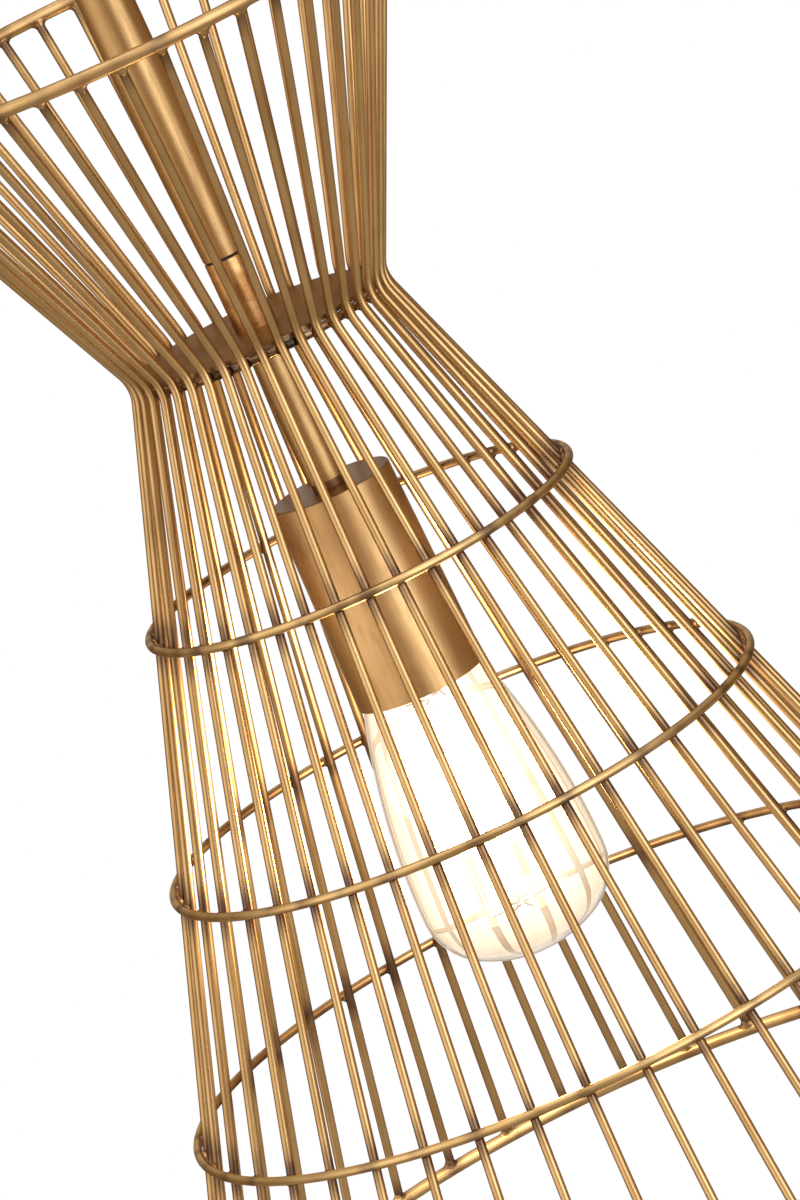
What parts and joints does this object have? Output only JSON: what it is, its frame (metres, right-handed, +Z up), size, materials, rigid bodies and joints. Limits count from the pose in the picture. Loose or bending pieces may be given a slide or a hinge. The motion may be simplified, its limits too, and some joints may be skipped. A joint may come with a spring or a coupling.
{
  "type": "mini pendant lamp",
  "caption": "Mini pendant lamp: hourglass cage of bent brass wires and hoops on a jointed rod from a round canopy, with a deep socket cup and a tall pear-shaped filament bulb.",
  "frame": {"origin": "centre of the crossbar's slots, on its top face where it lies against the ceiling box", "axes": "+Z up the lamp's axis out of the ceiling mount, +X along the crossbar, +Y level across it"},
  "size_m": [0.3145, 0.3144, 0.8567],
  "materials": {
    "satin_brass": "satin, hand-rubbed, with a clear lacquer",
    "dark_brass": "heat-tinted satin",
    "cast_brass": "mottled, as cast and rubbed",
    "zinc_steel": "zinc plated",
    "green_steel": "green dip for the ground screw",
    "black_fibre": "matt",
    "porcelain": "glazed",
    "spring_brass": "bright",
    "amber_glass": "clear, slightly amber",
    "clear_glass": "clear",
    "cap_brass": "bright",
    "dark_bead": "dark vitreous",
    "nickel_wire": "drawn wire",
    "filament": "drawn wire, lit"
  },
  "bodies": {
    "ceiling": {"crossbar": "zinc_steel", "canopy_studs": "zinc_steel", "stud_lock_nuts": "zinc_steel", "ground_screw": "green_steel", "canopy": "satin_brass", "canopy_cap_nuts": "satin_brass", "canopy_nipple": "zinc_steel", "canopy_washer": "zinc_steel", "canopy_lock_nut": "zinc_steel", "swivel_upper_yoke": "satin_brass"},
    "swivel_cross": {"swivel_cross": "satin_brass", "swivel_pins": "satin_brass"},
    "lamp": {"bottom_ring": "satin_brass", "cage_wires_01": "satin_brass", "cage_wires_02": "satin_brass", "cage_wires_03": "satin_brass", "cage_wires_04": "satin_brass", "cage_wires_05": "satin_brass", "cage_wires_06": "satin_brass", "cage_wires_07": "satin_brass", "cage_wires_08": "satin_brass", "cage_wires_09": "satin_brass", "cage_wires_10": "satin_brass", "cage_wires_11": "satin_brass", "cage_wires_12": "satin_brass", "cage_wires_13": "satin_brass", "cage_wires_14": "satin_brass", "cup_lock_nut": "zinc_steel", "cup_nipple": "zinc_steel", "cup_spacer": "black_fibre", "drop_rod": "satin_brass", "drop_rod_bushes": "satin_brass", "lampholder_body": "porcelain", "lampholder_bracket": "zinc_steel", "lampholder_screws": "zinc_steel", "lampholder_shell": "spring_brass", "lampholder_tongue": "spring_brass", "lower_hoop": "satin_brass", "lower_stem": "satin_brass", "middle_hoop": "satin_brass", "rod_top_nipple": "zinc_steel", "socket_cup": "satin_brass", "stem_coupler": "cast_brass", "stem_joint_nipple": "zinc_steel", "stem_top_bush": "satin_brass", "stem_washer": "black_fibre", "swivel_lower_yoke": "satin_brass", "tapered_stem": "satin_brass", "top_ring": "satin_brass", "upper_hoop": "satin_brass", "waist_disc": "dark_brass", "waist_nipple": "zinc_steel", "waist_ring": "satin_brass"},
    "bulb_contact": {"bulb_contact": "cap_brass"},
    "bulb": {"bulb_glass": "amber_glass", "bulb_cap": "cap_brass", "bulb_insulator": "dark_bead", "bulb_glass_stem": "clear_glass", "bulb_supports": "nickel_wire", "bulb_filament": "filament"}
  },
  "joints": [
    {"name": "swivel_tilt_x", "type": "hinge", "parent": "ceiling", "child": "swivel_cross", "pos_m": [0, 0, -0.0399], "axis": [1, 0, 0], "range_deg": [-30, 30]},
    {"name": "swivel_tilt_y", "type": "hinge", "parent": "swivel_cross", "child": "lamp", "pos_m": [0, 0, -0.0399], "axis": [0, 1, 0], "range_deg": [-30, 30]},
    {"name": "bulb_travel", "type": "slide", "parent": "lamp", "child": "bulb_contact", "axis": [0, 0, -1], "range_m": [0, 0.0181]},
    {"name": "bulb_turn", "type": "hinge", "parent": "bulb_contact", "child": "bulb", "pos_m": [0, 0, -0.6219], "axis": [0, 0, -1], "range_deg": [0, 1800]}
  ],
  "couplings": [
    {"joint": "bulb_turn", "follows": "bulb_travel", "rad_per_m": 1731.3}
  ]
}
